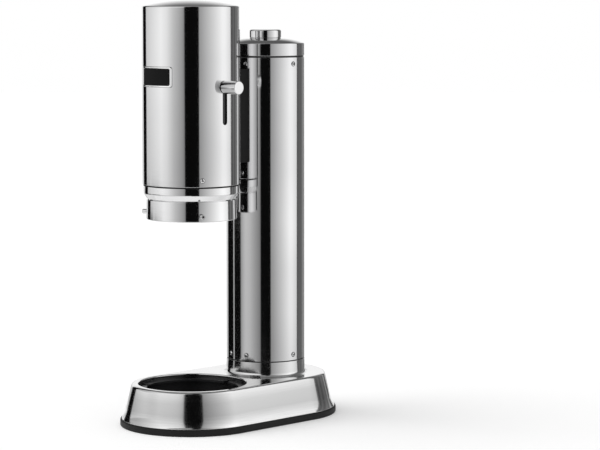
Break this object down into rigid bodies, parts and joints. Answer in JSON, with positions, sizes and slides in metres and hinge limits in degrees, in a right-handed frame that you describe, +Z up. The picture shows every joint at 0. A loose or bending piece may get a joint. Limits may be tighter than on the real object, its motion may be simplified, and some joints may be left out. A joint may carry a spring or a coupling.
{
  "type": "soda carbonator",
  "caption": "Mirror-polished steel soda carbonator: round head with push bar and sliding shield over a well in a stadium base, gas column behind with a lift-off knobbed lid.",
  "frame": {"origin": "on the floor under the middle of the base", "axes": "+Z up, front towards -Y with the head in front of the column, push bar on +X"},
  "size_m": [0.1788, 0.3064, 0.525],
  "materials": {
    "polished_steel": "mirror polished stainless steel",
    "inner_steel": "plain bright steel",
    "black_rubber": "matt",
    "black_plastic": "matt",
    "grey_plastic": "matt",
    "black_enamel": "gloss enamel",
    "cast_aluminium": "as cast",
    "brass": "machined",
    "cylinder_paint": "satin paint",
    "black_paint": "satin paint"
  },
  "bodies": {
    "frame": {"base_shell": "polished_steel", "foot_ring": "black_rubber", "base_plate": "black_plastic", "base_screws": "inner_steel", "well_cup": "black_plastic", "lock_ring": "black_plastic", "column_socket": "cast_aluminium", "column_tube": "polished_steel", "column_top_ring": "black_plastic", "column_screws": "polished_steel", "cylinder_seat": "black_rubber", "gas_cylinder": "cylinder_paint", "cylinder_guide": "grey_plastic", "cylinder_valve": "brass", "hand_wheel": "black_plastic", "gas_hose": "black_plastic", "bridge": "black_paint", "bridge_bolts": "inner_steel", "valve_block": "brass", "valve_spring": "inner_steel", "gas_pipe": "inner_steel", "head_casing": "polished_steel", "head_collar": "polished_steel", "collar_bush": "grey_plastic", "head_screws": "polished_steel", "badge_frame": "polished_steel", "badge_plate": "black_enamel", "top_plate": "cast_aluminium", "shield_guide_rods": "inner_steel", "nozzle_guide_rods": "inner_steel", "fixed_rack": "inner_steel", "gas_manifold": "brass", "spring_bracket": "inner_steel", "lift_spring": "inner_steel", "lift_tape": "inner_steel", "gas_coil": "black_plastic", "lever_spring": "inner_steel", "spring_anchor": "inner_steel"},
    "carrier": {"shield_carrier": "grey_plastic", "shield_rack": "inner_steel"},
    "shield": {"shield_tube": "polished_steel", "retaining_clip": "inner_steel", "shield_ring": "polished_steel", "shield_studs": "polished_steel"},
    "nozzle": {"nozzle_carriage": "grey_plastic", "nozzle_tube": "inner_steel", "bottle_stopper": "black_rubber", "relief_valve": "brass"},
    "pinion": {"pinion": "grey_plastic"},
    "lever": {"lever_handle": "polished_steel", "lever_slider": "black_plastic", "lever_cam": "inner_steel"},
    "plunger": {"valve_plunger": "inner_steel"},
    "lid": {"column_lid": "polished_steel", "lid_liner": "black_plastic", "lid_knob": "polished_steel", "lid_screw": "inner_steel"},
    "tray": {"drip_tray": "black_plastic", "bottle_plate": "black_plastic"}
  },
  "joints": [
    {"name": "shield_slide", "type": "slide", "parent": "frame", "child": "carrier", "axis": [0, 0, 1], "range_m": [-0.223, 0], "stiffness_N_per_m": 40, "springref_m": 0.4, "deforming": ["lift_tape", "gas_coil"]},
    {"name": "shield_turn", "type": "hinge", "parent": "carrier", "child": "shield", "pos_m": [0, -0.0638, 0.4], "axis": [0, 0, 1], "range_deg": [0, 20]},
    {"name": "nozzle_slide", "type": "slide", "parent": "frame", "child": "nozzle", "axis": [0, 0, 1], "range_m": [-0.1116, 0]},
    {"name": "pinion_spin", "type": "hinge", "parent": "nozzle", "child": "pinion", "pos_m": [0, -0.0258, 0.395], "axis": [1, 0, 0], "range_deg": [-711, 0]},
    {"name": "lever_push", "type": "slide", "parent": "frame", "child": "lever", "axis": [0, 0, 1], "range_m": [-0.042, 0], "stiffness_N_per_m": 150, "springref_m": 0.03, "deforming": ["lever_spring"]},
    {"name": "plunger_push", "type": "slide", "parent": "frame", "child": "plunger", "axis": [0, 1, 0], "range_m": [0, 0.00281], "deforming": ["valve_spring"]},
    {"name": "lid_lift", "type": "slide", "parent": "frame", "child": "lid", "axis": [0, 0, 1], "range_m": [0, 0.08]},
    {"name": "tray_lift", "type": "slide", "parent": "frame", "child": "tray", "axis": [0, 0, 1], "range_m": [0, 0.06]}
  ],
  "couplings": [
    {"joint": "nozzle_slide", "follows": "shield_slide", "ratio": 0.5},
    {"joint": "pinion_spin", "follows": "shield_slide", "rad_per_m": 55.556},
    {"joint": "plunger_push", "follows": "lever_push", "ratio": -0.066667}
  ]
}
